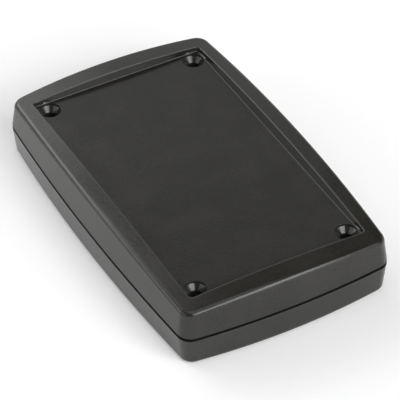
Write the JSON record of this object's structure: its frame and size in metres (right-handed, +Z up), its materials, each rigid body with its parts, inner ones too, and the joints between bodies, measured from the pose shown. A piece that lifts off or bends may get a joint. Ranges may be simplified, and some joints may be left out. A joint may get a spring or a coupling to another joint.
{
  "type": "electronics enclosure",
  "caption": "Flat two-shell plastic case with bowed sides, a crowned border round a sunk panel, and countersunk screw holes in the panel's corners.",
  "frame": {"origin": "centre of the flat underside", "axes": "+X along the length, +Y across the width, +Z up out of the sunk panel"},
  "size_m": [0.145, 0.0904, 0.0264],
  "materials": {
    "case_plastic": "dark grey moulded ABS with a fine spark-eroded grain and a soft satin sheen; smooth and shinier in the countersinks"
  },
  "bodies": {
    "root": {"upper_shell": "case_plastic", "lower_shell": "case_plastic"}
  },
  "joints": []
}
